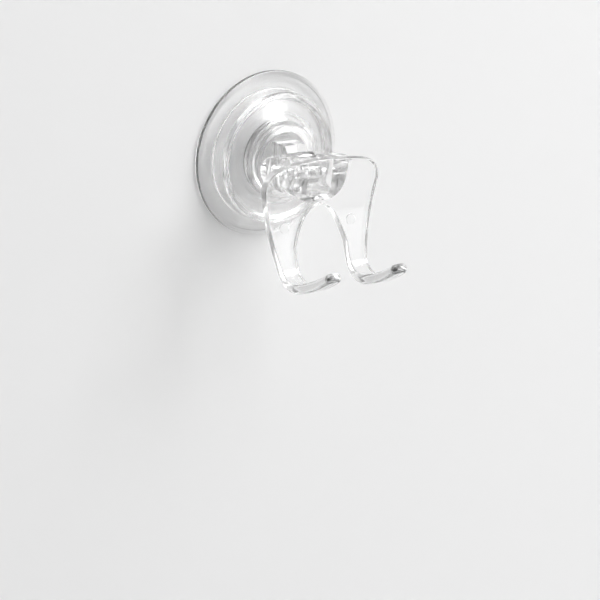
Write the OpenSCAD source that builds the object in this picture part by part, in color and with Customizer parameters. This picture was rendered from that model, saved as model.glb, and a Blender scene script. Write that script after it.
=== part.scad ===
// Razor holder on a lever-lock suction cup, all in clear plastic.
// A soft cup seals on the wall. A rigid stud is moulded into its middle and passes through a
// stiff cover cap. The hook plate is the lever: its two cam ears press on the cap and draw the
// stud, and so the middle of the cup, away from the wall. Two prongs at the plate's foot carry
// the razor's head.
// Frame: origin at the centre of the cup's sealing face, +Y into the wall, +Z up, millimetres.
// The word "out" means the distance from the wall, along -Y.

/* [Suction cup] */
// Radius of the cup over its edge bead
cup_r = 25; // [24:0.5:32]
// Thickness of the flat lip
lip_t = 1.1; // [0.8:0.1:1.4]
// Radius of the round bead along the edge
bead_r = 0.75; // [0.6:0.05:0.9]
// Depth of the hollow behind the middle while the lever is locked
hollow_d = 3.6; // [3.55:0.05:4.3]
// Thickness of the soft floor behind the stud's foot
floor_t = 1; // [0.8:0.1:1.3]
// Wall of soft plastic round the stud's foot
boss_wall = 1; // [0.8:0.1:1.2]
// Thickness of the soft ring that keeps the foot in
keeper_t = 0.7; // [0.5:0.05:0.85]

/* [Stud] */
// Radius of the foot moulded into the cup
foot_r = 10; // [9.4:0.1:10.4]
// Thickness of the foot
foot_t = 1.2; // [1:0.05:1.5]
// Height of the round neck above the foot
neck_h = 1.8; // [1.4:0.05:2.2]
// Width of the neck beyond the post's corners
neck_margin = 0.65; // [0.4:0.05:1]
// Width of the post, side to side
post_w = 7.6; // [6:0.1:9.2]
// Height of the post where it passes through the cap
post_h = 11.4; // [9.4:0.1:12.4]
// Radius of the post's round end
post_end_r = 4.2; // [3.6:0.1:4.4]

/* [Cover cap] */
// Width of the cup's lip that shows outside the cap
lip_w = 5; // [4:0.1:6]
// Height of the rounded front rim above the wall
rim_h = 7.5; // [7:0.1:9]
// Wall of the cap
cap_wall = 1.5; // [1.2:0.1:1.6]
// Distance of the ring valley inside the skirt's foot
valley_in = 3.8; // [3.4:0.1:4.2]
// Depth of the valley below the rim
valley_d = 1.6; // [1.2:0.1:1.8]
// Radius of the flat land that the cams press on
land_r = 9.9; // [9.6:0.1:10.4]
// Thickness of the land
land_t = 2.2; // [1.8:0.1:2.7]
// Room between the stud's neck and the land
neck_room = 1.25; // [0.8:0.05:1.6]

/* [Lever plate] */
// Width of the plate at its shoulders
plate_w = 40.6; // [33:0.2:49]
// Thickness of the plate and its prongs
plate_t = 2.9; // [2.4:0.1:3.5]
// Rise of the plate's top above the cams' reach when open
top_rise = 1.6; // [1:0.1:1.7]
// Radius of the plate's upper corners
shoulder_r = 6.5; // [4.5:0.5:7.5]
// Radius of the plate's slightly arched top edge
top_edge_r = 81; // [60:1:140]
// Distance from the pin to the plate's front face at its middle height
plate_reach = 11.1; // [10.6:0.1:13]
// Radius of the plate's hollow front face
plate_bend_r = 46.6; // [40:0.2:60]
// Depth below the pin at which the plate comes nearest to the wall
plate_mid_z = 8.3; // [7.5:0.1:9.5]
// Depth of the legs' feet below the pin
leg_z = 26.4; // [25.4:0.2:32]
// Height of plate left between the web and the arch's crown
crown_drop = 0.9; // [0.6:0.1:2]
// Height over which the arch widens to the full gap
arch_h = 11.8; // [9:0.2:14]
// Power of the arch's curve: 2 is a parabola, more is flatter at the crown
arch_power = 2.4; // [2:0.1:3]
// Radius of the round ejector marks on the legs
mark_r = 1.7; // [1.2:0.1:2]

/* [Prongs] */
// Gap between the two prongs
prong_gap = 18.4; // [15.4:0.2:22]
// Width of each prong at its foot
prong_w = 6.4; // [5.8:0.1:6.8]
// Width of each prong at its tip
tip_w = 5.4; // [5.2:0.1:5.8]
// Radius of the bend at the foot, at mid thickness
foot_bend_r = 6.8; // [6:0.1:7.5]
// Slope of the prong after the bend, in degrees
prong_slope = 16; // [8:1:20]
// Radius of the prong's long upward sweep
sweep_r = 45; // [40:1:80]
// Distance that the prong tips stand out from the plate's front face
prong_reach = 25.5; // [21:0.1:31]

/* [Cams and pin] */
// Reach of the cams from the pin while the lever is locked
cam_reach = 7.05; // [6.9:0.05:7.6]
// Distance that the cams draw the stud from open to locked
cam_lift = 3.5; // [2.8:0.1:3.5]
// Angle that the lever swings up from its locked rest, in degrees
swing = 80; // [72:1:80]
// Diameter of the pin
pin_d = 3; // [2.4:0.1:3.6]
// Thickness of each ear
ear_t = 5.1; // [4.2:0.1:5.3]
// Drop of the ears' upper edge below the plate's top edge, where they meet
ear_drop = 0.45; // [0.4:0.05:1.2]
// Thickness of the web that joins the ears under the post
web_t = 1.9; // [1.5:0.1:2.3]
// Depth of the cams' flat locking face below the pin
lock_flat = 4.4; // [3.5:0.1:4.8]

/* [Fits] */
// Radial running clearance of the pin in the post
pin_clear = 0.05; // [0.02:0.01:0.1]
// Clearance of the foot in the soft cup, and of the cap and the cams on what they press
seat_clear = 0.05; // [0.02:0.01:0.1]
// Sliding clearance of the post in the cap, each side
slide_clear = 0.2; // [0.15:0.05:0.3]
// Gap between the post and each ear
slot_gap = 0.6; // [0.4:0.05:0.8]
// Gap between the post and the web under it
web_gap = 0.6; // [0.4:0.05:1]
// Gap between the cup's thick middle and the cap
cap_gap = 0.3; // [0.2:0.05:0.5]

/* [Hidden] */
$fn = 96;
arc_steps = 8;

// Heights above the wall, from the cup outwards
foot_out = hollow_d + floor_t + seat_clear;
keeper_out = foot_out + foot_t + seat_clear;
boss_out = keeper_out + keeper_t;
neck_out = foot_out + foot_t + neck_h;
land_h = neck_out + neck_room + land_t;
pin_out = land_h + seat_clear + cam_reach;
plate_out = pin_out + plate_reach;
tip_out = plate_out + prong_reach;

// Radii, from the middle outwards
neck_r = norm([post_w, post_h]) / 2 + neck_margin;
boss_r = foot_r + boss_wall;
skirt_r = cup_r - lip_w;
valley_r = skirt_r - valley_in;

// The cap's skirt stands on the lip; its ring valley lies below the rim
skirt_out = lip_t + seat_clear;
valley_out = rim_h - valley_d;
// The post keeps its full section this far out, so that it still fills the hole when it slides in
post_full_out = land_h + cam_lift + slide_clear;

// The cam: its reach from the pin falls in step with the lever's angle
cam_rate = cam_lift / (swing * PI / 180);
open_reach = cam_reach - cam_lift;
plate_top = open_reach + top_rise;
ear_top = plate_top - ear_drop;

// The slot between the ears and the web under it follow the post
slot_w = post_w + 2 * slot_gap;
ears_w = slot_w + 2 * ear_t;
web_z = post_h / 2 + web_gap + web_t;
arch_top = web_z + crown_drop;

// The hollow front face of the plate is part of a cylinder about this line
bend_out = plate_out + plate_bend_r;
plate_mid_r = plate_bend_r + plate_t / 2;
leg_angle = asin((leg_z - plate_mid_z) / plate_mid_r);
leg_end = [bend_out - plate_mid_r * cos(leg_angle), -leg_z];

// The plate's upper corner touches the top edge's arc; the long edge runs from it to the foot
corner_x = plate_w / 2 - shoulder_r;
corner_z = plate_top - top_edge_r + sqrt(pow(top_edge_r - shoulder_r, 2) - corner_x * corner_x);
corner_turn = asin(corner_x / (top_edge_r - shoulder_r));
foot_x = prong_gap / 2 + prong_w;
foot_reach = norm([foot_x - corner_x, leg_z + corner_z]);
edge_lean = asin(shoulder_r / foot_reach) - atan((foot_x - corner_x) / (leg_z + corner_z));

clear_cut = 40;
lever_depth = leg_z + 3 * foot_bend_r;

// Points along an arc from angle a to angle b
function arc(centre, r, a, b, steps = arc_steps) =
    [for (i = [0:steps]) let (t = a + (b - a) * i / steps)
        [centre[0] + r * cos(t), centre[1] + r * sin(t)]];

// Points along a smooth step from one radius and height to another
function swell(r0, h0, r1, h1, steps = 10) =
    [for (i = [0:steps]) let (u = i / steps)
        [r0 + (r1 - r0) * u, h0 + (h1 - h0) * (1 - cos(180 * u)) / 2]];

// Turns a profile of radius and distance from the wall into a solid about the cup's axis
module turned(points) {
    rotate([90, 0, 0]) rotate_extrude() polygon(points);
}

// Extrudes an outline drawn as seen from the front, from one distance from the wall to another
module from_front(near, far) {
    rotate([90, 0, 0]) translate([0, 0, near]) linear_extrude(far - near) children();
}

// Extrudes an outline drawn from the side, distance from the wall across and height up
module from_side(width) {
    rotate([90, 0, -90]) linear_extrude(width, center = true) children();
}

// A round bar along X at a distance from the wall and a height
module cross_bar(out, z, r, length) {
    translate([0, -out, z]) rotate([0, 90, 0]) cylinder(h = length, r = r, center = true);
}

module suction_cup() {
    bead_centre = [cup_r - bead_r, bead_r];
    bead_end = 180 - asin((lip_t - bead_r) / bead_r);
    pocket_r = foot_r + seat_clear;
    mouth_r = neck_r + seat_clear;
    inner_lip_r = skirt_r - cap_wall;
    ceiling_r = boss_r - 0.6;
    boss_edge = 0.8;
    membrane = concat(
        [[0, hollow_d], [0, hollow_d + floor_t], [pocket_r, hollow_d + floor_t]],
        [[pocket_r, keeper_out], [mouth_r, keeper_out], [mouth_r, boss_out]],
        [[boss_r - boss_edge, boss_out], [boss_r, boss_out - boss_edge]],
        swell(boss_r, hollow_d + floor_t, inner_lip_r, lip_t),
        arc(bead_centre, bead_r, bead_end, -90, 3 * arc_steps),
        swell(inner_lip_r, 0, ceiling_r, hollow_d));
    color("aliceblue", 0.6) turned(membrane);
}

module cup_stud() {
    half_h = post_h / 2;
    post_side = concat(
        [[foot_out + foot_t, -half_h], [post_full_out, -half_h]],
        arc([pin_out, 0], post_end_r, -120, 120, 4 * arc_steps),
        [[post_full_out, half_h], [foot_out + foot_t, half_h]]);
    color("white", 0.5) difference() {
        union() {
            turned([[0, foot_out], [foot_r, foot_out], [foot_r, foot_out + foot_t],
                [neck_r, foot_out + foot_t], [neck_r, neck_out], [0, neck_out]]);
            from_side(post_w) polygon(post_side);
        }
        cross_bar(pin_out, 0, pin_d / 2 + pin_clear, post_w + 2);
    }
}

module cover_cap() {
    rim_r = 0.8;
    edge_r = 0.7;
    skirt_lean = 0.4;
    rim_centre = [skirt_r - skirt_lean - rim_r, rim_h - rim_r];
    land_centre = [land_r, land_h - edge_r];
    hub_r = boss_r + cap_gap;
    hub_out = boss_out + cap_gap;
    flank_r = max(land_r + edge_r, hub_r) + 0.2;
    hub_rise = 1.2;
    outside = concat(
        [[0, land_h]],
        arc(land_centre, edge_r, 90, 10),
        swell(flank_r, hub_out + cap_wall + 0.2, valley_r - 2, valley_out + hub_rise, 6),
        [[valley_r, valley_out], [valley_r + 1, valley_out]],
        arc(rim_centre, rim_r, 160, 5),
        [[skirt_r, skirt_out]]);
    inside = concat(
        [[skirt_r - cap_wall, skirt_out], [skirt_r - skirt_lean - cap_wall, valley_out - cap_wall + 0.8]],
        [[valley_r + 1, valley_out - cap_wall], [valley_r - 0.4, valley_out - cap_wall]],
        swell(valley_r - 2.2, valley_out + hub_rise - cap_wall - 0.6, hub_r, hub_out, 6),
        [[land_r - cap_wall, land_h - land_t], [0, land_h - land_t]]);
    color("white", 0.5) difference() {
        turned(concat(outside, inside));
        from_front(0, clear_cut)
            square([post_w + 2 * slide_clear, post_h + 2 * slide_clear], center = true);
    }
}

// The lever's outline from the front: arched plate and, below it, the two prongs' edges
module lever_front() {
    below = leg_z + 2 * foot_bend_r;
    right = concat(
        arc([0, plate_top - top_edge_r], top_edge_r, 90, 90 - corner_turn),
        arc([corner_x, corner_z], shoulder_r, 90 - corner_turn, -edge_lean),
        [[foot_x, -leg_z], [foot_x, -below], [prong_gap / 2, -below]],
        [for (i = [2 * arc_steps:-1:0]) let (u = i / (2 * arc_steps))
            [u * prong_gap / 2, -arch_top - arch_h * pow(u, arch_power)]]);
    polygon(right);
    mirror([1, 0]) polygon(right);
}

// The lever's outline from above: full width at the plate, then prongs that taper to round tips
module lever_plan() {
    tip_corner_r = 2.6;
    inner_x = prong_gap / 2;
    taper_y = leg_end[0] + plate_t;
    corner_y = tip_out - tip_corner_r;
    right = concat(
        [[0, plate_out - 2 * plate_t], [plate_w, plate_out - 2 * plate_t], [plate_w, taper_y]],
        [[foot_x, taper_y]],
        arc([inner_x + tip_w - tip_corner_r, corner_y], tip_corner_r, 0, 90),
        arc([inner_x + tip_corner_r, corner_y], tip_corner_r, 90, 180),
        [[inner_x - 1, corner_y - 1], [inner_x - 1, taper_y], [0, taper_y]]);
    mirror([0, 1]) polygon(right);
    mirror([0, 1]) mirror([1, 0]) polygon(right);
}

// The bent strip from the side: hollow plate, foot bend, upward sweep and round tip
module strip_side() {
    half_t = plate_t / 2;
    top_angle = -asin((plate_top + plate_t + plate_mid_z) / plate_mid_r);
    plate_centre = [bend_out, -plate_mid_z];
    bend = leg_end + foot_bend_r * [cos(leg_angle), sin(leg_angle)];
    low_end = -90 + prong_slope;
    sweep = bend + (foot_bend_r - sweep_r) * [cos(low_end), sin(low_end)];
    tip_angle = -90 + asin((tip_out - half_t - sweep[0]) / sweep_r);
    tip = sweep + sweep_r * [cos(tip_angle), sin(tip_angle)];
    steps = 2 * arc_steps;
    polygon(concat(
        arc(plate_centre, plate_mid_r + half_t, 180 + top_angle, 180 + leg_angle, steps),
        arc(bend, foot_bend_r + half_t, 180 + leg_angle, 360 + low_end, steps),
        arc(sweep, sweep_r + half_t, low_end, tip_angle),
        arc(tip, half_t, tip_angle, tip_angle + 180),
        arc(sweep, sweep_r - half_t, tip_angle, low_end),
        arc(bend, foot_bend_r - half_t, 360 + low_end, 180 + leg_angle, steps),
        arc(plate_centre, plate_mid_r - half_t, 180 + leg_angle, 180 + top_angle, steps)));
}

// A cam ear from the side, about the pin. The upper back edge is the cam: an involute whose
// reach towards the wall falls in step with the angle, so the cap is pressed at every angle.
module ear_side() {
    cam = [for (i = [0:3 * arc_steps]) let (
            u = i / (3 * arc_steps),
            a = swing * u,
            reach = cam_reach - cam_lift * u)
        [-reach * cos(a) - cam_rate * sin(a), reach * sin(a) - cam_rate * cos(a)]];
    plate_back = plate_out - plate_t - pin_out;
    into_plate = 2;
    heel_r = 1.6;
    translate([pin_out, 0]) polygon(concat(
        cam,
        [[plate_back, ear_top], [plate_back + into_plate, ear_top], [plate_back + into_plate, -web_z]],
        [[-0.5, -web_z]],
        arc([heel_r - cam_reach, -lock_flat], heel_r, 230, 180)));
}

// The ears and their lower web from the front: a U with round lower corners
module ears_outline() {
    corner_r = 4;
    half_w = ears_w / 2;
    low = corner_r - web_z;
    inner_r = slot_gap;
    half_slot = slot_w / 2;
    top = plate_top + 4;
    difference() {
        polygon(concat(
            [[half_w, top], [-half_w, top]],
            arc([corner_r - half_w, low], corner_r, 180, 270),
            arc([half_w - corner_r, low], corner_r, 270, 360)));
        polygon(concat(
            [[half_slot, top + 1], [-half_slot, top + 1]],
            arc([inner_r - half_slot, web_t - web_z + inner_r], inner_r, 180, 270),
            arc([half_slot - inner_r, web_t - web_z + inner_r], inner_r, 270, 360)));
    }
}

module hook_lever() {
    mark_x = prong_gap / 2 + 0.44 * prong_w;
    mark_z = -15.2;
    mark_depth = 0.25;
    color("ghostwhite", 0.55) difference() {
        union() {
            intersection() {
                from_side(plate_w + 2) strip_side();
                from_front(0, tip_out + 1) lever_front();
                translate([0, 0, -lever_depth]) linear_extrude(2 * lever_depth) lever_plan();
            }
            intersection() {
                from_side(ears_w + 2) ear_side();
                from_front(0, clear_cut) ears_outline();
            }
        }
        cross_bar(pin_out, 0, pin_d / 2, ears_w + 2);
        for (side = [-1, 1])
            from_front(plate_out - plate_t - 2, plate_out - plate_t + mark_depth)
                translate([side * mark_x, mark_z]) circle(mark_r);
    }
}

module pivot_pin() {
    color("white", 0.7) cross_bar(pin_out, 0, pin_d / 2, ears_w);
}

suction_cup();
cup_stud();
cover_cap();
hook_lever();
pivot_pin();
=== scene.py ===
# %% [markdown]
# A hook for a smooth wall, moulded in clear plastic. A soft cup grips the wall, a stiff cap
# presses on it, and the hooked plate is a lever whose two cams pull the cup's middle outwards.
# Everything is see-through, so every inner wall shows: each piece here is a closed solid with the
# small rounded edges of a real moulding, because those edges are what the eye finds in clear
# plastic.

# %% Load the frame
import math

import bmesh
import bpy
from mathutils import Matrix, Vector


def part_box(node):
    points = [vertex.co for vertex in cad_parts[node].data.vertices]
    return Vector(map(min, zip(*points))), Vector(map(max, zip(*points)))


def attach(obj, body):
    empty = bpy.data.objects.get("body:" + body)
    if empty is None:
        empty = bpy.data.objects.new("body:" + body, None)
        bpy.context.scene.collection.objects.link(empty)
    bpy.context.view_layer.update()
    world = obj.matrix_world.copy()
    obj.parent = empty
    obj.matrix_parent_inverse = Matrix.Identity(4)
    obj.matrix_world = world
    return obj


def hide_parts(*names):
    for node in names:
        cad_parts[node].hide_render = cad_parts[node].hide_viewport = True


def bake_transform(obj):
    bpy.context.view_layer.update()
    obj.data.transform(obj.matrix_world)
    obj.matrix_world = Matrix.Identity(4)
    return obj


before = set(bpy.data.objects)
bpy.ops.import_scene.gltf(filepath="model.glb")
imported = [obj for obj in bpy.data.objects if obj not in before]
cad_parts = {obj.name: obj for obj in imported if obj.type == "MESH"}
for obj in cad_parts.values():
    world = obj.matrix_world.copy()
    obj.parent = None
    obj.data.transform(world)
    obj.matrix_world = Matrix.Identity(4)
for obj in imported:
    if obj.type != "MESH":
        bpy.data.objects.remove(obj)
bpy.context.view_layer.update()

# %% [markdown]
# The sizes. The origin is on the wall, at the middle of the cup. "Out" is the distance from the
# wall, along -Y. What the frame already holds is read from it, so that the looks can't drift from
# the working model. The details of each moulding stand in the piece's own cell. All sizes are
# millimetres, and become metres only when a mesh is made.

# %% Sizes that the frame gives
MM = 0.001


def box_mm(node):
    low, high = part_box(node)
    return [c / MM for c in low], [c / MM for c in high]


cup_low, cup_high = box_mm("suction_cup")
stud_low, stud_high = box_mm("cup_stud")
cap_low, cap_high = box_mm("cover_cap")
lever_low, lever_high = box_mm("hook_lever")
pin_low, pin_high = box_mm("pivot_pin")

CUP_R = cup_high[0]
BOSS_OUT = -cup_low[1]
FOOT_R = stud_high[0]
FOOT_OUT = -stud_high[1]
POST_END_OUT = -stud_low[1]
SKIRT_R = cap_high[0]
SKIRT_OUT = -cap_high[1]
LAND_OUT = -cap_low[1]
PLATE_W = 2 * lever_high[0]
PLATE_TOP = lever_high[2]
TIP_OUT = -lever_low[1]
PIN_R = (pin_high[2] - pin_low[2]) / 2
PIN_OUT = -(pin_low[1] + pin_high[1]) / 2
EARS_W = 2 * pin_high[0]
print(f"cup {2 * CUP_R:.1f} mm wide, plate {PLATE_W:.1f} mm wide")
print(f"tips {TIP_OUT:.1f} mm out, pin {PIN_OUT:.2f} mm out")

# %% [markdown]
# The camera looks from the front left and a little above. The holder sits a few degrees turned
# on its wall, as it was stuck on by hand, so the camera is turned round the cup's axis instead:
# the part itself stays square in its frame.

# %% Camera
VIEW_SIDE = math.radians(-35.7)
VIEW_HEIGHT = math.radians(17.87)
VIEW_DISTANCE = 1570.4
VIEW_ACROSS, VIEW_UP = 10.474, -43.86
STUCK_ON_TURN = math.radians(3.42)
FOCAL_LENGTH = 317.84
FILM_WIDTH = 36

right = Vector((math.cos(VIEW_SIDE), math.sin(VIEW_SIDE), 0))
back = Vector((
    math.sin(VIEW_SIDE) * math.cos(VIEW_HEIGHT),
    -math.cos(VIEW_SIDE) * math.cos(VIEW_HEIGHT),
    math.sin(VIEW_HEIGHT),
))
up = back.cross(right)
turn = Matrix.Rotation(-STUCK_ON_TURN, 3, "Y")
axes = Matrix((turn @ right, turn @ up, turn @ back)).transposed()
place = turn @ (VIEW_ACROSS * right + VIEW_UP * up + VIEW_DISTANCE * back) * MM

camera_data = bpy.data.cameras.new("camera")
camera_data.sensor_width = FILM_WIDTH
camera_data.lens = FOCAL_LENGTH
camera = bpy.data.objects.new("camera", camera_data)
camera.matrix_world = Matrix.Translation(place) @ axes.to_4x4()
bpy.context.scene.collection.objects.link(camera)
bpy.context.scene.camera = camera
print("camera at", [round(c, 3) for c in place])

# %% [markdown]
# Helpers for colour and materials. Colours are written as sRGB hex values, the way a paint chart
# gives them, and one function turns them into the linear values that the shader works in. A
# second one adds a node, so that a material reads as a list of what its nodes are and take.


# %% Colours and nodes
def linear(hex_colour):
    channels = [int(hex_colour[i : i + 2], 16) / 255 for i in (1, 3, 5)]
    return tuple(
        c / 12.92 if c <= 0.04045 else ((c + 0.055) / 1.055) ** 2.4 for c in channels
    ) + (1,)


def add_node(tree, kind, settings=None, **inputs):
    """One node with its settings. Each input is a value or another node's output, for the socket
    of that name (with _ for a space), or of that number where the name is i0, i1 and so on."""
    node = tree.nodes.new(kind)
    for name, value in (settings or {}).items():
        setattr(node, name, value)
    for name, value in inputs.items():
        numbered = name[0] == "i" and name[1:].isdigit()
        socket = node.inputs[int(name[1:]) if numbered else name.replace("_", " ")]
        if isinstance(value, bpy.types.NodeSocket):
            tree.links.new(value, socket)
        else:
            socket.default_value = value
    return node


def empty_tree(owner):
    """The node tree of a material or of the world, without the nodes that it starts with."""
    owner.use_nodes = True
    owner.node_tree.nodes.clear()
    return owner.node_tree


print("the hex grey #808080 is", round(linear("#808080")[0], 3), "in linear light")

# %% [markdown]
# Clear plastic is a material where the shader does little and the shape does all: light bends at
# the surface, and a thick edge turns into a bright or dark line. What the surface itself adds is
# faint: the slow waves that shrinkage leaves on a thick moulding, and a film of handling that
# dulls the gloss in patches. The lamps' light is traced through the plastic too, so the shadow on
# the wall is the real one of a clear thing: pale in the middle, darker along the edges.

# %% Clear plastics
PATCH_MM = 7
PATCH_STARTS, PATCH_FULL = 0.4, 0.7


def clear_plastic(name, colour, ior, gloss, film, wave_mm, wave_height, body=1.0):
    """gloss and film are the roughness of the clean and of the handled skin; the waves are
    wave_mm long and wave_height high; body is the share of the light that goes through."""
    material = bpy.data.materials.new(name)
    tree = empty_tree(material)
    where = add_node(tree, "ShaderNodeTexCoord").outputs["Object"]
    patches = add_node(tree, "ShaderNodeTexNoise", Vector=where,
                       Scale=1 / (PATCH_MM * MM), Detail=3.0)
    rough = add_node(tree, "ShaderNodeMapRange", Value=patches.outputs["Fac"],
                     From_Min=PATCH_STARTS, From_Max=PATCH_FULL, To_Min=gloss, To_Max=film)
    waves = add_node(tree, "ShaderNodeTexNoise", Vector=where,
                     Scale=1 / (wave_mm * MM), Detail=1.0)
    bump = add_node(tree, "ShaderNodeBump", Height=waves.outputs["Fac"],
                    Distance=wave_height * MM, Strength=1.0)
    shader = add_node(tree, "ShaderNodeBsdfPrincipled", Base_Color=linear(colour), IOR=ior,
                      Roughness=rough.outputs["Result"], Normal=bump.outputs["Normal"],
                      Transmission_Weight=body)
    add_node(tree, "ShaderNodeOutputMaterial", Surface=shader.outputs["BSDF"])
    return material


# Acrylic, injection moulded in a polished tool: hard, water clear, with bright sharp highlights.
ACRYLIC = clear_plastic("acrylic_moulded_polished", "#FEFEFE", 1.49, 0.015, 0.05, 9, 0.02)
# Clear polycarbonate, for the stud, which has to be tougher: it bends light more, shows more of
# its flow, and is faintly grey where it is thick, so the post stands out inside the clear hub.
POLYCARBONATE = clear_plastic("polycarbonate_moulded", "#EAEAEA", 1.56, 0.04, 0.1, 6, 0.03)
# The same plastic from a finely blasted tool, for the cap: the satin skin spreads the lamps'
# reflections into soft pale areas.
FINE_SATIN = clear_plastic(
    "polycarbonate_moulded_fine_satin", "#FEFEFE", 1.54, 0.1, 0.2, 6, 0.03)
# Soft vinyl: the plasticiser leaves it faintly milky, and its skin is duller than acrylic's.
SOFT_VINYL = clear_plastic(
    "soft_vinyl_moulded", "#FDFDFD", 1.52, 0.12, 0.22, 5, 0.03, body=0.98)
# The lever's narrow sides come off the eroded walls of the tool, not off its polished faces: they
# are satin and scatter what passes. Their grey tint is painted shade, and with the scatter it draws
# the grey line round the whole outline.
SATIN_ACRYLIC_PAINTED_SHADE = clear_plastic(
    "acrylic_satin_sides_painted_shade", "#E0E0E0", 1.49, 0.14, 0.22, 4, 0.02)
print("materials", [m.name for m in bpy.data.materials])

# %% [markdown]
# Outlines. A moulded corner is never sharp, so outlines are written as corners with a radius, and
# one function swaps each corner for its arc. The soft cup's slopes use half a cosine wave, which
# starts and ends level, as the shoulder of a bell does.

# %% Outline helpers
ARC_STEP = math.radians(9)
MOST_OF_A_SIDE = 0.49


def arc(cx, cy, r, start, end, steps=12):
    angles = [start + (end - start) * i / steps for i in range(steps + 1)]
    return [(cx + r * math.cos(a), cy + r * math.sin(a)) for a in angles]


def swell(x0, y0, x1, y1, steps=28):
    return [(x0 + (x1 - x0) * i / steps,
             y0 + (y1 - y0) * (1 - math.cos(math.pi * i / steps)) / 2)
            for i in range(steps + 1)]


def rounded(corners, closed=False):
    """Corners are (x, y) or (x, y, radius); each radius becomes an arc that touches both sides."""
    points = []
    count = len(corners)
    for i, corner in enumerate(corners):
        here = Vector(corner[:2])
        radius = corner[2] if len(corner) > 2 else 0
        if radius == 0 or (not closed and i in (0, count - 1)):
            points.append(tuple(here))
            continue
        before = Vector(corners[i - 1][:2]) - here
        after = Vector(corners[(i + 1) % count][:2]) - here
        half = before.angle(after) / 2
        reach = min(radius / math.tan(half),
                    MOST_OF_A_SIDE * before.length, MOST_OF_A_SIDE * after.length)
        radius = reach * math.tan(half)
        start = here + before.normalized() * reach
        end = here + after.normalized() * reach
        to_middle = (before.normalized() + after.normalized()).normalized()
        middle = here + to_middle * radius / math.sin(half)
        a0 = math.atan2(*(start - middle).yx)
        sweep = (math.atan2(*(end - middle).yx) - a0 + math.pi) % (2 * math.pi) - math.pi
        steps = max(2, round(abs(sweep) / ARC_STEP))
        points += arc(middle.x, middle.y, radius, a0, a0 + sweep, steps)
    return points


print("one rounded corner has", len(rounded([(0, 0), (1, 0, 0.2), (1, 1)])) - 2, "points")

# %% [markdown]
# The round pieces. The cup, the cap and the stud's foot are turned shapes: one profile swept
# round an axis. A Screw modifier or bmesh's spin would do, but a small Geometry Nodes tree keeps
# the rule in one place. It lays out a grid with one column for each step of the turn and one row
# for each point of the profile, moves every grid point to its place on the turned profile, and
# welds the seam and the poles.

# %% A tree that turns a profile
WELD = 2e-6


def turning_tree():
    tree = bpy.data.node_groups.new("turn_profile", "GeometryNodeTree")
    ends = tree.interface
    ends.new_socket("Profile", in_out="INPUT", socket_type="NodeSocketGeometry")
    steps_in = ends.new_socket("Steps round", in_out="INPUT", socket_type="NodeSocketInt")
    finish_in = ends.new_socket("Finish", in_out="INPUT", socket_type="NodeSocketMaterial")
    ends.new_socket("Solid", in_out="OUTPUT", socket_type="NodeSocketGeometry")
    given = add_node(tree, "NodeGroupInput").outputs

    size = add_node(tree, "GeometryNodeAttributeDomainSize", Geometry=given["Profile"])
    rows = size.outputs["Point Count"]
    columns = add_node(tree, "ShaderNodeMath", {"operation": "ADD"},
                       i0=given["Steps round"], i1=1.0)
    grid = add_node(tree, "GeometryNodeMeshGrid", Vertices_X=columns.outputs[0], Vertices_Y=rows)
    index = add_node(tree, "GeometryNodeInputIndex").outputs["Index"]
    share = add_node(tree, "ShaderNodeMath", {"operation": "DIVIDE"}, i0=index, i1=rows)
    column = add_node(tree, "ShaderNodeMath", {"operation": "FLOOR"}, i0=share.outputs[0])
    row = add_node(tree, "ShaderNodeMath", {"operation": "MODULO"}, i0=index, i1=rows)
    position = add_node(tree, "GeometryNodeInputPosition").outputs["Position"]
    on_profile = add_node(tree, "GeometryNodeSampleIndex", {"data_type": "FLOAT_VECTOR"},
                          Geometry=given["Profile"], Value=position, Index=row.outputs[0])
    turns = add_node(tree, "ShaderNodeMath", {"operation": "DIVIDE"},
                     i0=column.outputs[0], i1=given["Steps round"])
    angle = add_node(tree, "ShaderNodeMath", {"operation": "MULTIPLY"},
                     i0=turns.outputs[0], i1=2 * math.pi)
    turned_to = add_node(tree, "ShaderNodeVectorRotate", {"rotation_type": "Y_AXIS"},
                         Vector=on_profile.outputs["Value"], Angle=angle.outputs[0])
    placed = add_node(tree, "GeometryNodeSetPosition", Geometry=grid.outputs["Mesh"],
                      Position=turned_to.outputs["Vector"])
    welded = add_node(tree, "GeometryNodeMergeByDistance", Geometry=placed.outputs["Geometry"],
                      Distance=WELD)
    plain = add_node(tree, "GeometryNodeRealizeInstances", Geometry=welded.outputs["Geometry"])
    finished = add_node(tree, "GeometryNodeSetMaterial", Geometry=plain.outputs["Geometry"],
                        Material=given["Finish"])
    add_node(tree, "NodeGroupOutput", Solid=finished.outputs["Geometry"])
    return tree, steps_in.identifier, finish_in.identifier


TURNING, STEPS_ROUND, FINISH = turning_tree()
print("tree", TURNING.name, "with", len(TURNING.nodes), "nodes")

# %% [markdown]
# From outline to mesh. A piece that the tree has turned is turned into a plain mesh straight
# away, since the frame takes only meshes with nothing live on them. On the way its doubles are
# merged and its faces are made to point outwards, which clear plastic needs: light that meets a
# face from the wrong side bends the wrong way.

# %% Meshes from outlines
CLOSE = 1e-6
STEPS_FOR_ROUND = 192


def new_object(name, mesh):
    obj = bpy.data.objects.new(name, mesh)
    bpy.context.scene.collection.objects.link(obj)
    return obj


def evaluated(obj):
    """What the object's modifiers make, as a plain mesh; the modifiers are then removed."""
    bpy.context.view_layer.update()
    graph = bpy.context.evaluated_depsgraph_get()
    mesh = bpy.data.meshes.new_from_object(obj.evaluated_get(graph), depsgraph=graph)
    obj.modifiers.clear()
    obj.data = mesh
    return obj


def facing_out(obj):
    solid = bmesh.new()
    solid.from_mesh(obj.data)
    bmesh.ops.remove_doubles(solid, verts=solid.verts, dist=CLOSE)
    bmesh.ops.dissolve_degenerate(solid, edges=solid.edges, dist=CLOSE)
    bmesh.ops.recalc_face_normals(solid, faces=solid.faces)
    if solid.calc_volume(signed=True) < 0:
        bmesh.ops.reverse_faces(solid, faces=solid.faces)
    solid.to_mesh(obj.data)
    solid.free()
    return obj


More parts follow.
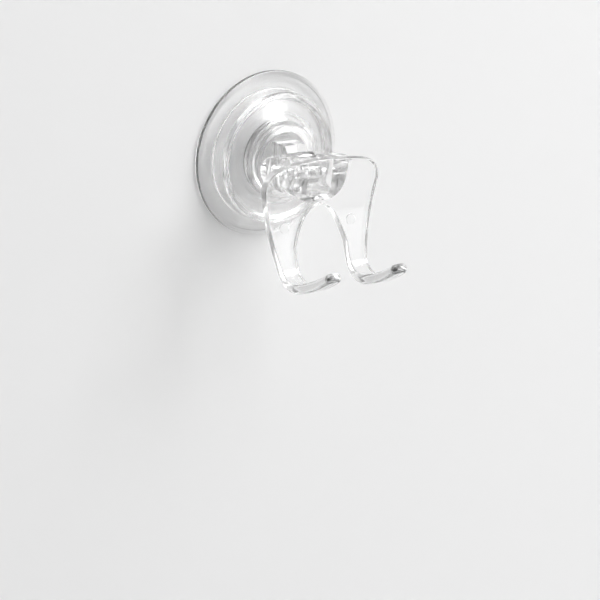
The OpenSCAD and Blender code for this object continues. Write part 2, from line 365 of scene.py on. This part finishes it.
def turned(name, profile, material):
    """A profile of (radius, distance out) points, swept round the cup's axis."""
    mesh = bpy.data.meshes.new(name)
    points = [(r * MM, -out * MM, 0) for r, out in profile]
    mesh.from_pydata(points, [(i, i + 1) for i in range(len(points) - 1)], [])
    obj = new_object(name, mesh)
    modifier = obj.modifiers.new("turn", "NODES")
    modifier.node_group = TURNING
    modifier[STEPS_ROUND] = STEPS_FOR_ROUND
    modifier[FINISH] = material
    return facing_out(evaluated(obj))


print("round pieces have", STEPS_FOR_ROUND, "steps")

# %% [markdown]
# The suction cup. It is one soft moulding: a flat lip with a round bead along its edge, a bell
# that rises to a thick middle, and in that middle a pocket with an inward lip that keeps the
# stud's foot. The hollow behind it is the room in which the stud pulls the vacuum.

# %% Suction cup
# The gap between two pieces that rest on each other.
SEAT = 0.05
LIP_T = 1.1
BEAD_R = 0.65
HOLLOW_D = 3.6
FLOOR_T = 1.0
CAP_WALL = 1.5
BOSS_R = FOOT_R + 1.0
CEILING_R = BOSS_R - 0.6
BELL_R = SKIRT_R - CAP_WALL
FOOT_T = 1.2
NECK_R = 7.5
GROOVE_T = LIP_T - 0.3
GROOVE_R = CUP_R - 2 * BEAD_R - 0.1
GROOVE_END_R = GROOVE_R - 1.7

floor_out = HOLLOW_D + FLOOR_T
keeper_out = FOOT_OUT + FOOT_T + SEAT
behind = [(0, HOLLOW_D)] + swell(CEILING_R, HOLLOW_D, BELL_R, 0)
edge = rounded([
    (BELL_R, 0), (CUP_R, 0, 0.4), (CUP_R, 2 * BEAD_R, BEAD_R - 0.05),
    (GROOVE_R, 2 * BEAD_R, 0.55), (GROOVE_R, GROOVE_T, 0.1), (GROOVE_R - 0.3, GROOVE_T),
])[1:-1]
edge += swell(GROOVE_R - 0.2, GROOVE_T, GROOVE_END_R, LIP_T, 12)
bell = swell(BELL_R, LIP_T, BOSS_R, floor_out)
pocket = rounded([
    (BOSS_R, floor_out), (BOSS_R, BOSS_OUT, 0.7), (NECK_R + SEAT, BOSS_OUT, 0.25),
    (NECK_R + SEAT, keeper_out, 0.2), (FOOT_R + SEAT, keeper_out, 0.15),
    (FOOT_R + SEAT, floor_out, 0.15), (0, floor_out),
])
suction_cup = turned("soft_suction_cup", behind + edge + bell + pocket[1:], SOFT_VINYL)
print("cup", len(suction_cup.data.vertices), "points")

# %% [markdown]
# Cutting and joining. Booleans make the square hole in the cap, the pin's bores and the join of
# ears and plate. The exact solver keeps the two solids' own surfaces, so the rounded edges made
# before the cut stay clean. A finished piece is shaded smooth, except where it really has a
# crease, and its flat areas stay flat.

# %% Booleans and finishing
CREASE = math.radians(28)
FLAT_AREA_WEIGHT = 80


def combine(obj, other, operation):
    modifier = obj.modifiers.new("combine", "BOOLEAN")
    modifier.operation = operation
    modifier.solver = "EXACT"
    modifier.object = other
    evaluated(obj)
    bpy.data.objects.remove(other)
    return facing_out(obj)


def polished(obj, material=None):
    """Smooth shading that keeps true creases, with flat areas held flat. Without a material, the
    piece keeps those that its faces have."""
    mesh = obj.data
    if material:
        mesh.materials.clear()
        mesh.materials.append(material)
    for face in mesh.polygons:
        face.use_smooth = True
        if material:
            face.material_index = 0
    mesh.set_sharp_from_angle(angle=CREASE)
    weighted = obj.modifiers.new("flat areas", "WEIGHTED_NORMAL")
    weighted.keep_sharp = True
    weighted.weight = FLAT_AREA_WEIGHT
    return evaluated(obj)


# %% [markdown]
# What isn't round starts as a slab: an outline with a thickness, and a rounded rim along both
# its faces. A Bevel modifier would round the rims too, but rings of points, set inwards and upwards
# by the rule of a circle, let every point of the outline have its own radius.

# %% Slabs
# At a sharp corner the rim would run far inwards; this holds it to twice its radius.
SHARPEST = 0.5


def slab(name, outline, thickness, rim, steps=4):
    """A plate of the outline's shape with rounded rims: (x, y) in the outline, z through it.
    rim is one radius or one for each point."""
    count = len(outline)
    rims = rim if isinstance(rim, list) else [rim] * count
    area = sum(a[0] * b[1] - b[0] * a[1] for a, b in zip(outline, outline[1:] + outline[:1]))
    turn_sign = 1 if area > 0 else -1
    inward = []
    for i in range(count):
        to_next = (Vector(outline[(i + 1) % count]) - Vector(outline[i])).normalized()
        from_last = (Vector(outline[i]) - Vector(outline[i - 1])).normalized()
        along = to_next + from_last
        across = Vector((-along.y, along.x)).normalized() * turn_sign
        lean = across.dot(Vector((-to_next.y, to_next.x)) * turn_sign)
        inward.append(across / max(SHARPEST, lean))
    solid = bmesh.new()
    rings = []
    for side in (-1, 1):
        for k in range(steps + 1):
            a = math.pi / 2 * (k if side < 0 else steps - k) / steps
            ring = []
            for point, across, r in zip(outline, inward, rims):
                x, y = Vector(point) + across * r * (1 - math.sin(a))
                z = side * (thickness / 2 - r * (1 - math.cos(a)))
                ring.append(solid.verts.new((x, y, z)))
            rings.append(ring)
    for low, high in zip(rings, rings[1:]):
        for i in range(count):
            j = (i + 1) % count
            solid.faces.new((low[i], low[j], high[j], high[i]))
    solid.faces.new(rings[0][::-1])
    solid.faces.new(rings[-1])
    mesh = bpy.data.meshes.new(name)
    solid.to_mesh(mesh)
    solid.free()
    return new_object(name, mesh)


def stand(obj, matrix):
    obj.data.transform(Matrix.Scale(MM, 4) @ matrix)
    return facing_out(obj)


# An outline's x, y and thickness become the object's axes: seen from the side, from the front.
FROM_SIDE = Matrix(((0, 0, 1, 0), (-1, 0, 0, 0), (0, 1, 0, 0), (0, 0, 0, 1)))
FROM_FRONT = Matrix(((1, 0, 0, 0), (0, 0, 1, 0), (0, 1, 0, 0), (0, 0, 0, 1)))
# A cutting tool has sharp edges, so its rim has no radius and one step.
SHARP = {"rim": 0.0, "steps": 1}
print("a side outline's x runs along", tuple(FROM_SIDE @ Vector((1, 0, 0))))

# %% [markdown]
# The cover cap is the stiff shell that the cams press on: a skirt that stands on the cup's lip, a
# rounded rim, a ring valley, and a raised hub with a flat land. The stud's post comes through a
# rectangular hole in the land.

# %% Cover cap
RIM_OUT = 7.5
VALLEY_R = SKIRT_R - 3.8
VALLEY_OUT = RIM_OUT - 1.6
LAND_R = 9.9
LAND_T = 2.2
HUB_R = BOSS_R + 0.3
HUB_OUT = BOSS_OUT + 0.3
FLANK_R = max(LAND_R + 0.7, HUB_R) + 0.2
FLANK_OUT = HUB_OUT + CAP_WALL + 0.2
SHOULDER_OUT = VALLEY_OUT + 1.2

under_valley = VALLEY_OUT - CAP_WALL
under_shoulder = SHOULDER_OUT - CAP_WALL - 0.6
outside = rounded([(0, LAND_OUT), (LAND_R + 0.7, LAND_OUT, 0.6), (FLANK_R, FLANK_OUT, 0.5)])[:-1]
outside += swell(FLANK_R, FLANK_OUT, VALLEY_R - 2, SHOULDER_OUT)
rim = rounded([
    (VALLEY_R - 2, SHOULDER_OUT), (VALLEY_R, VALLEY_OUT, 1.6), (VALLEY_R + 1.1, VALLEY_OUT, 0.7),
    (SKIRT_R - 1.9, RIM_OUT, 0.55), (SKIRT_R - 0.45, RIM_OUT, 0.6), (SKIRT_R, SKIRT_OUT, 0.2),
    (SKIRT_R - CAP_WALL, SKIRT_OUT, 0.2), (SKIRT_R - CAP_WALL - 0.4, under_valley + 0.9, 0.8),
    (VALLEY_R + 1, under_valley, 0.6), (VALLEY_R - 0.4, under_valley, 0.8),
    (VALLEY_R - 2.2, under_shoulder),
])
inside = swell(VALLEY_R - 2.2, under_shoulder, HUB_R, HUB_OUT)
inside += rounded([
    (HUB_R, HUB_OUT), (LAND_R - CAP_WALL, LAND_OUT - LAND_T, 0.6), (0, LAND_OUT - LAND_T),
])[1:]
cover_cap = turned("cover_cap_shell", outside + rim[1:-1] + inside, FINE_SATIN)
print("cap shell", len(cover_cap.data.vertices), "points")

# %% [markdown]
# The hole in the land lets the flat-sided post slide but not turn, so it is a rectangle, a sliding
# gap larger than the post on every side. A turned shell can't have a square hole of its own, so
# the hole is cut with a long slab of that outline.

# %% The hole for the post
POST_W = 7.6
POST_H = 11.4
# The gap on each side of a piece that slides.
SLIDE = 0.2
HOLE_CORNER = 0.5
RIGHT_THROUGH = 40

hole_w, hole_h = POST_W / 2 + SLIDE, POST_H / 2 + SLIDE
hole_outline = rounded(
    [(x, z, HOLE_CORNER) for x, z in (
        (-hole_w, -hole_h), (hole_w, -hole_h), (hole_w, hole_h), (-hole_w, hole_h))],
    closed=True)
hole = stand(slab("hole", hole_outline, RIGHT_THROUGH, **SHARP), FROM_FRONT)
cover_cap = polished(combine(cover_cap, hole, "DIFFERENCE"), FINE_SATIN)
print("cap", len(cover_cap.data.vertices), "points")

# %% [markdown]
# The stud: a round foot held in the cup's soft pocket, a neck, and a flat-sided post with a round
# end that the pin goes through. The foot is turned, the post is a slab, and the two are joined
# before the pin's bore is cut.

# %% Stud
NECK_OUT = FOOT_OUT + FOOT_T + 1.8
POST_RIM = 0.35
POST_END_R = POST_END_OUT - PIN_OUT
POST_END_ANGLE = math.radians(120)
CAM_LIFT = 3.5
BORE_STEPS = 64

half_h = POST_H / 2
post_start = FOOT_OUT + 0.3
post_full = LAND_OUT + CAM_LIFT + SLIDE
post_outline = rounded([(post_start, -half_h), (post_full, -half_h, 0.6)])
post_outline += arc(PIN_OUT, 0, POST_END_R, -POST_END_ANGLE, POST_END_ANGLE, 40)
post_outline += rounded([(post_full, half_h, 0.6), (post_start, half_h)])
post = stand(slab("post", post_outline, POST_W, POST_RIM), FROM_SIDE)
foot_profile = rounded([
    (0, FOOT_OUT), (FOOT_R, FOOT_OUT, 0.2), (FOOT_R, FOOT_OUT + FOOT_T, 0.2),
    (NECK_R, FOOT_OUT + FOOT_T, 0.3), (NECK_R, NECK_OUT, 0.3), (0, NECK_OUT),
])
cup_stud = combine(turned("stud_foot_and_post", foot_profile, POLYCARBONATE), post, "UNION")


def pin_circle(radius):
    return arc(PIN_OUT, 0, radius, 0, 2 * math.pi, BORE_STEPS)[:-1]


def cross_hole(radius, length):
    return stand(slab("bore", pin_circle(radius), length, **SHARP), FROM_SIDE)


cup_stud = combine(cup_stud, cross_hole(PIN_R + SEAT, POST_W + 4), "DIFFERENCE")
cup_stud = polished(cup_stud, POLYCARBONATE)
print("stud", len(cup_stud.data.vertices), "points")

# %% [markdown]
# The hook lever starts as a flat blank: the plate with its arch, and the two prongs, laid out
# along their own length. The blank is then sliced crossways, so that it can bend, and each point
# is moved onto the bent path: the hollow plate, the tight bend at the foot and the long sweep up
# to the tips. Modelling it bent would mean lofting every rim by hand; bending a flat blank gives
# the rims for free. The path comes first, as arcs that touch each other.

# %% The lever's path
PLATE_T = 2.9
PLATE_OUT = 29.3
PLATE_BEND_R = 46.6
PLATE_MID_Z = 8.3
LEG_Z = 26.4
FOOT_BEND_R = 6.8
PRONG_SLOPE = math.radians(16)
SWEEP_R = 45.0
# On a bend the outer face runs ahead of the middle, so the blank ends a little short of its line.
TIP_SETBACK = 0.5

bend_out = PLATE_OUT + PLATE_BEND_R
mid_r = PLATE_BEND_R + PLATE_T / 2
leg_angle = math.asin((LEG_Z - PLATE_MID_Z) / mid_r)
leg_end = Vector((bend_out - mid_r * math.cos(leg_angle), -LEG_Z))
foot_centre = leg_end + FOOT_BEND_R * Vector((math.cos(leg_angle), math.sin(leg_angle)))
low_end = -math.pi / 2 + PRONG_SLOPE
to_sweep = Vector((math.cos(low_end), math.sin(low_end)))
sweep_centre = foot_centre + (FOOT_BEND_R - SWEEP_R) * to_sweep
tip_angle = -math.pi / 2 + math.asin((TIP_OUT - sweep_centre.x) / SWEEP_R)
LEG_S = mid_r * leg_angle
FOOT_S = LEG_S + FOOT_BEND_R * (math.pi + low_end - leg_angle)
TIP_S = FOOT_S + SWEEP_R * (tip_angle - low_end) - TIP_SETBACK


def on_path(s, v):
    """Distance out and height of a point at length s along the middle, v towards the front."""
    if s < 0:
        # Above the plate's middle a point keeps its height, so the top edge stays level.
        z = -PLATE_MID_Z - s
        back_r, front_r = PLATE_BEND_R + PLATE_T, PLATE_BEND_R
        rise = z + PLATE_MID_Z
        back_out = bend_out - math.sqrt(back_r**2 - rise**2)
        front_out = bend_out - math.sqrt(front_r**2 - rise**2)
        return back_out + (front_out - back_out) * (v / PLATE_T + 0.5), z
    if s < LEG_S:
        a = math.pi + s / mid_r
        return bend_out + (mid_r - v) * math.cos(a), -PLATE_MID_Z + (mid_r - v) * math.sin(a)
    if s < FOOT_S:
        a = math.pi + leg_angle + (s - LEG_S) / FOOT_BEND_R
        centre, r = foot_centre, FOOT_BEND_R - v
    else:
        a = low_end + (s - FOOT_S) / SWEEP_R
        centre, r = sweep_centre, SWEEP_R - v
    return centre.x + r * math.cos(a), centre.y + r * math.sin(a)


def length_at(z):
    """Length along the path at a height on the plate or legs."""
    below = -z - PLATE_MID_Z
    return below if below < 0 else mid_r * math.asin(min(1, below / mid_r))


def height_at(s):
    return -PLATE_MID_Z - (s if s < 0 else mid_r * math.sin(s / mid_r))


print(f"path: leg {LEG_S:.1f}, foot {FOOT_S:.1f}, tip {TIP_S:.1f} mm below the plate's middle")

# %% [markdown]
# The blank's outline. The top edge is a wide arc, each shoulder a small one that touches both it
# and the leaning side, and the arch is a power curve, steeper than a circle. In clear plastic
# even a stray point on a straight side shows, as a rung across the edge. So the points along the
# plate's sides stand exactly where the slices will cut, and the prongs' straight sides have none.

# %% Outline of the blank
SLICE = 0.5
SLICE_TO_SPARE = 0.2
SHOULDER_R = 6.5
TOP_EDGE_R = 81.0
PRONG_GAP = 18.4
PRONG_W = 6.4
TIP_W = 5.4
TIP_CORNER = 2.55
WEB_T = 1.9
WEB_Z = POST_H / 2 + 0.6 + WEB_T
ARCH_TOP = WEB_Z + 0.9
ARCH_H = 11.8
ARCH_POWER = 2.4
ARCH_STEPS = 44

corner_x = PLATE_W / 2 - SHOULDER_R
corner_z = PLATE_TOP - TOP_EDGE_R + math.sqrt((TOP_EDGE_R - SHOULDER_R) ** 2 - corner_x**2)
corner_turn = math.asin(corner_x / (TOP_EDGE_R - SHOULDER_R))
foot_x = PRONG_GAP / 2 + PRONG_W
foot_reach = math.hypot(foot_x - corner_x, LEG_Z + corner_z)
edge_lean = (math.asin(SHOULDER_R / foot_reach)
             - math.atan((foot_x - corner_x) / (LEG_Z + corner_z)))

quarter = math.pi / 2
corner_start = quarter - corner_turn
top_edge = arc(0, PLATE_TOP - TOP_EDGE_R, TOP_EDGE_R, quarter, corner_start, 30)
shoulder = arc(corner_x, corner_z, SHOULDER_R, corner_start, -edge_lean, 30)
plate_right = [(x, length_at(z)) for x, z in top_edge + shoulder[1:]]

blank_top = length_at(PLATE_TOP)
edge_x, edge_z = shoulder[-1]
first_slice = math.ceil((plate_right[-1][1] - blank_top) / SLICE + SLICE_TO_SPARE)
for k in range(first_slice, int((LEG_S - blank_top) / SLICE) + 1):
    s = blank_top + k * SLICE
    x = edge_x + (foot_x - edge_x) * (height_at(s) - edge_z) / (-LEG_Z - edge_z)
    plate_right.append((x, s))
plate_right.append((foot_x, LEG_S))

inner_x = PRONG_GAP / 2
tip_low = TIP_S - TIP_CORNER
tip = arc(inner_x + TIP_W - TIP_CORNER, tip_low, TIP_CORNER, 0, quarter, 14)
tip += arc(inner_x + TIP_CORNER, tip_low, TIP_CORNER, quarter, math.pi, 14)
arch_edge = []
for u in range(ARCH_STEPS, -1, -1):
    share = u / ARCH_STEPS
    arch_edge.append((share * PRONG_GAP / 2, length_at(-ARCH_TOP - ARCH_H * share**ARCH_POWER)))

right_half = plate_right + tip + arch_edge
left_half = [(-x, s) for x, s in right_half[1:-1]][::-1]
blank_outline = right_half + left_half
print("blank", len(blank_outline), "points, sides lean", round(math.degrees(edge_lean), 2))

# %% [markdown]
# The blank gets its rims. The plate and the prongs have flat, satin sides between small rims, whose
# scatter and painted grey shade give the grey band along every edge; only the tips are full round,
# so that they can't scratch. The side faces are told apart by their direction while the blank is
# still flat.

# %% Rims and sides of the blank
SIDE_RIM, TIP_RIM = 0.55, PLATE_T / 2 - 0.1
SIDEWAYS = 0.3

full_round_from = tip_low - 0.1
rims = [TIP_RIM if s > full_round_from else SIDE_RIM for x, s in blank_outline]
blank = slab("lever_blank", blank_outline, PLATE_T, rims, 6)
blank.data.materials.append(ACRYLIC)
blank.data.materials.append(SATIN_ACRYLIC_PAINTED_SHADE)
# The side faces take the satin material, whose grey tint is painted shade.
for face in blank.data.polygons:
    face.material_index = int(abs(face.normal.z) < SIDEWAYS)
print("satin faces", sum(face.material_index for face in blank.data.polygons))

# %% [markdown]
# A face can't bend, so the blank is cut across into strips half a millimetre long before its
# points move. A Simple Deform or a Curve modifier would bend it as well, but this path is made of
# arcs that touch, and one small rule for each arc keeps the moulding's thickness exact.

# %% Slice the blank and bend it
ON_THE_CUT = 1e-4
# Points nearer than this are merged, because slivers would show in the clear plastic.
SLIVER = 0.04


def sliced(obj, low, high, spacing):
    solid = bmesh.new()
    solid.from_mesh(obj.data)
    for k in range(1, math.ceil((high - low) / spacing)):
        cut = solid.verts[:] + solid.edges[:] + solid.faces[:]
        bmesh.ops.bisect_plane(solid, geom=cut, dist=ON_THE_CUT,
                               plane_co=(0, low + k * spacing, 0), plane_no=(0, 1, 0))
    bmesh.ops.remove_doubles(solid, verts=solid.verts, dist=SLIVER)
    solid.to_mesh(obj.data)
    solid.free()
    return obj


hook_lever = sliced(blank, blank_top, TIP_S, SLICE)
for vertex in hook_lever.data.vertices:
    out, z = on_path(vertex.co.y, vertex.co.z)
    vertex.co = Vector((vertex.co.x, -out, z)) * MM
hook_lever.name = "hook_lever_plate_and_prongs"
facing_out(hook_lever)
print("bent blank", len(hook_lever.data.vertices), "points")

# %% [markdown]
# The ears are the cams. Their back edge is an involute, so the pull on the cup grows in step with
# the lever's angle. They and the web under the post are one U-shaped block on the plate's back.
# Such a block follows two outlines at once, so it is made as a workshop would make it: a slab of
# the side view first, with the cams along its back edge.

# %% Cams, seen from the side
SWING = math.radians(80)
CAM_STEPS = 32
CAM_REACH = PIN_OUT - LAND_OUT - SEAT
HEEL_R = 1.6
LOCK_FLAT = 4.4
EAR_DROP = 0.45
EAR_RIM = 0.3

cam = []
rate = CAM_LIFT / SWING
for i in range(CAM_STEPS + 1):
    a = SWING * i / CAM_STEPS
    reach = CAM_REACH - CAM_LIFT * i / CAM_STEPS
    cam.append((PIN_OUT - reach * math.cos(a) - rate * math.sin(a),
                reach * math.sin(a) - rate * math.cos(a)))
into_plate = PLATE_OUT - 1.0
ear_top = PLATE_TOP - EAR_DROP
heel = arc(PIN_OUT + HEEL_R - CAM_REACH, -LOCK_FLAT, HEEL_R,
           math.radians(230), math.radians(180), 12)
ear_side = cam[:-1] + rounded([
    cam[-2], (*cam[-1], 0.5), (PLATE_OUT - PLATE_T, ear_top, 0.4), (into_plate, ear_top),
])[1:]
ear_side += rounded([(into_plate, -WEB_Z), (PIN_OUT - 0.5, -WEB_Z, 1.0), heel[0]])[:-1]
ear_side += heel[:-1]
ears = stand(slab("ears", ear_side, EARS_W, EAR_RIM), FROM_SIDE)
print(f"cams: reach {CAM_REACH:.2f} mm, {CAM_REACH - CAM_LIFT:.2f} mm when open")

# %% [markdown]
# Then the front view: the lower corners are rounded off by what the block shares with a rounded
# box, the slot for the post is cut out of its middle, and the whole joins the bent plate. The
# pin's bore goes through last, so that it is one clean hole through both ears.

# %% Ears and slot, seen from the front
EAR_CORNER = 7.0
SLOT_CORNER = 0.6
SLOT_W = POST_W + 1.2
# Surfaces that would coincide, in a boolean or at the pin, are kept this far apart.
HAIR = 0.01


def open_box(half_width, top, bottom, corner):
    """A box from the front whose two lower corners are rounded."""
    return rounded([(half_width, top), (-half_width, top),
                    (-half_width, bottom, corner), (half_width, bottom, corner)], closed=True)


above_all = PLATE_TOP + 6
ears_front = open_box(EARS_W / 2 + HAIR, above_all, -WEB_Z - HAIR, EAR_CORNER)
corner_tool = stand(slab("outer", ears_front, 2 * RIGHT_THROUGH, **SHARP), FROM_FRONT)
ears = combine(ears, corner_tool, "INTERSECT")
slot_front = open_box(SLOT_W / 2, above_all + 2, WEB_T - WEB_Z, SLOT_CORNER)
slot_depth = PLATE_OUT - PLATE_T - 2 * HAIR
slot_tool = stand(slab("slot", slot_front, 2 * slot_depth, **SHARP), FROM_FRONT)
ears = combine(ears, slot_tool, "DIFFERENCE")

hook_lever = combine(hook_lever, ears, "UNION")
hook_lever = combine(hook_lever, cross_hole(PIN_R + HAIR, EARS_W + 4), "DIFFERENCE")
print("lever with ears", len(hook_lever.data.vertices), "points")

# %% [markdown]
# Two shallow round dents on the plate's back are where the tool's ejector pins pushed the
# moulding out. They could be a bump in the material, but through clear plastic only a real edge
# catches the light, so each is cut with a small disc, whose rim is as round as the dent is deep.

# %% Ejector marks
MARK_X = PRONG_GAP / 2 + 0.44 * PRONG_W
MARK_Z = -15.2
MARK_R = 1.7
MARK_DEPTH = 0.25
MARK_TOOL_T = 2.0

back_out = on_path(length_at(MARK_Z), -PLATE_T / 2)[0]
behind_plate = Matrix.Translation((0, -(back_out - MARK_TOOL_T / 2 + MARK_DEPTH), 0))
mark_circle = arc(0, 0, MARK_R, 0, 2 * math.pi, 48)[:-1]
for side in (-1, 1):
    mark_outline = [(side * MARK_X + x, MARK_Z + z) for x, z in mark_circle]
    tool = slab("mark", mark_outline, MARK_TOOL_T, MARK_DEPTH, 3)
    hook_lever = combine(hook_lever, stand(tool, behind_plate @ FROM_FRONT), "DIFFERENCE")
hook_lever = polished(hook_lever)
satin_faces = sum(face.material_index for face in hook_lever.data.polygons)
print("lever materials", [m.name for m in hook_lever.data.materials], satin_faces, "satin faces")

# %% [markdown]
# The cross pin is a short acrylic rod with eased ends, pressed into the ears. It is a slab too,
# with a circle for its outline. The cup, which nothing is cut from, gets its smooth shading here.

# %% Pin
PIN_RIM = 0.2

pivot_pin = stand(slab("cross_pin", pin_circle(PIN_R - HAIR), EARS_W, PIN_RIM), FROM_SIDE)
pivot_pin = polished(pivot_pin, ACRYLIC)
suction_cup = polished(suction_cup, SOFT_VINYL)
print("pin", len(pivot_pin.data.vertices), "points")

# %% [markdown]
# The pieces join the working model: each stands for its CAD node and rides on that node's body.
# The soft cup crosses the joint between wall and stud; here it is only put in place, on no body.

# %% Join the pieces to the frame
for piece, node, body, slot in (
    (cover_cap, "cover_cap", "base", "cap_clear"),
    (cup_stud, "cup_stud", "stud", "stud_clear"),
    (hook_lever, "hook_lever", "lever", "lever_clear"),
    (pivot_pin, "pivot_pin", "lever", "pin_clear"),
):
    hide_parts(node)
    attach(piece, body)
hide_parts("suction_cup")
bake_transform(suction_cup)
for piece in (suction_cup, cup_stud, cover_cap, hook_lever, pivot_pin):
    piece.data.calc_loop_triangles()
    print(piece.name, len(piece.data.loop_triangles), "triangles")

# %% [markdown]
# The set: a pale wall that the cup sits on, and a pale floor below. They are single sheets, whose
# back lets everything through, so that a look at the holder's back isn't blocked by its own wall.

# %% Wall and floor
FLOOR_Z = -0.35
# The wall stands a hair behind the cup's lip, so that the two surfaces don't coincide.
WALL_Y = 0.0003
HALF_WIDTH, FLOOR_LENGTH, WALL_TOP = 2, 3, 2


def stage_material(name, colour):
    material = bpy.data.materials.new(name)
    tree = empty_tree(material)
    paint = add_node(tree, "ShaderNodeBsdfPrincipled", Base_Color=linear(colour), Roughness=0.6)
    clear = add_node(tree, "ShaderNodeBsdfTransparent")
    seen_from = add_node(tree, "ShaderNodeNewGeometry").outputs
    mix = add_node(tree, "ShaderNodeMixShader", i0=seen_from["Backfacing"],
                   i1=paint.outputs["BSDF"], i2=clear.outputs["BSDF"])
    add_node(tree, "ShaderNodeOutputMaterial", Surface=mix.outputs["Shader"])
    return material


def sheet(name, corners, material):
    mesh = bpy.data.meshes.new(name)
    mesh.from_pydata(corners, [], [tuple(range(len(corners)))])
    mesh.materials.append(material)
    obj = new_object(name, mesh)


# Matt emulsion on plaster: no gloss to mirror the lamps, so the wall stays an even pale grey.
WALL = stage_material("pale_wall_paint", "#EFEFEF")
# The floor's paint is a little darker, or it would clip to white right under the lamps.
FLOOR = stage_material("pale_floor_paint", "#D2D2D2")
wall_foot = [(-HALF_WIDTH, WALL_Y, FLOOR_Z), (HALF_WIDTH, WALL_Y, FLOOR_Z)]
wall_head = [(HALF_WIDTH, WALL_Y, WALL_TOP), (-HALF_WIDTH, WALL_Y, WALL_TOP)]
floor_front = [(-HALF_WIDTH, -FLOOR_LENGTH, FLOOR_Z), (HALF_WIDTH, -FLOOR_LENGTH, FLOOR_Z)]
sheet("wall", wall_foot + wall_head, WALL)
sheet("floor", floor_front + wall_foot[::-1], FLOOR)
print("floor at", FLOOR_Z, "m, wall", WALL_TOP - FLOOR_Z, "m high")

# %% [markdown]
# The lamps: a softbox high on the right is the strongest, so the soft shadow falls to the lower
# left, and a large window further round fills from the same side. Both are big and not too
# bright, so that their mirror images in the plastic don't clip to white.

# %% Lamps
def lamp(name, watts, size, place, aim):
    data = bpy.data.lights.new(name, "AREA")
    data.energy = watts
    data.shape = "SQUARE"
    data.size = size
    obj = bpy.data.objects.new(name, data)
    obj.location = place
    obj.rotation_euler = (Vector(aim) - Vector(place)).to_track_quat("-Z", "Y").to_euler()
    bpy.context.scene.collection.objects.link(obj)


lamp("high_softbox", 17, 0.9, place=(0.7, -0.95, 1.1), aim=(0, -0.02, 0))
lamp("side_window", 13, 2.0, place=(1.3, -1.5, 0.66), aim=(0, -0.02, 0.3))
print("lamps", [light.name for light in bpy.data.lights])

# %% [markdown]
# The room. What lights the holder is a plain dim world. What is seen of it, straight, mirrored or
# through the plastic, is pale as well, but for one darker side in front of the holder. That dark
# side is what the curved edges mirror as grey lines, and without it clear plastic on a pale wall
# all but vanishes. Diffuse light never sees it, so it doesn't change the level.

# %% Room light
PALE, DARK_SIDE = "#F4F4F4", "#747474"
DARK_UNTIL = -0.5
ROOM_STRENGTH = 0.34

room = bpy.data.worlds.new("room")
bpy.context.scene.world = room
tree = empty_tree(room)
direction = add_node(tree, "ShaderNodeTexCoord").outputs["Generated"]
facing = add_node(tree, "ShaderNodeVectorMath", {"operation": "DOT_PRODUCT"},
                  i0=direction, i1=-(turn @ back))
to_pale = add_node(tree, "ShaderNodeMapRange", Value=facing.outputs["Value"],
                   From_Min=-1.0, From_Max=DARK_UNTIL)
shade = add_node(tree, "ShaderNodeMix", {"data_type": "RGBA"}, Factor=to_pale.outputs["Result"],
                 A=linear(DARK_SIDE), B=linear(PALE))
path = add_node(tree, "ShaderNodeLightPath").outputs
seen = add_node(tree, "ShaderNodeMath", {"operation": "MAXIMUM"},
                i0=path["Is Camera Ray"], i1=path["Is Glossy Ray"])
seen = add_node(tree, "ShaderNodeMath", {"operation": "MAXIMUM"},
                i0=seen.outputs[0], i1=path["Is Transmission Ray"])
not_yet_diffuse = add_node(tree, "ShaderNodeMath", {"operation": "LESS_THAN"},
                           i0=path["Diffuse Depth"], i1=0.5)
seen = add_node(tree, "ShaderNodeMath", {"operation": "MULTIPLY"},
                i0=seen.outputs[0], i1=not_yet_diffuse.outputs[0])
light = add_node(tree, "ShaderNodeBackground", Color=linear(PALE), Strength=ROOM_STRENGTH)
look = add_node(tree, "ShaderNodeBackground", Color=shade.outputs["Result"], Strength=1.0)
mix = add_node(tree, "ShaderNodeMixShader", i0=seen.outputs[0],
               i1=light.outputs["Background"], i2=look.outputs["Background"])
add_node(tree, "ShaderNodeOutputWorld", Surface=mix.outputs["Shader"])
print("room", len(tree.nodes), "nodes")

# %% [markdown]
# Clear pieces inside clear pieces need many bounces, or their inside goes black, and the light that
# they focus isn't blurred, so the shadow keeps its bright edges.

# %% Bounces and view
cycles = bpy.context.scene.cycles
cycles.max_bounces = 24
cycles.transmission_bounces = 20
cycles.glossy_bounces = 8
cycles.blur_glossy = 0.0
bpy.context.scene.view_settings.view_transform = "Standard"
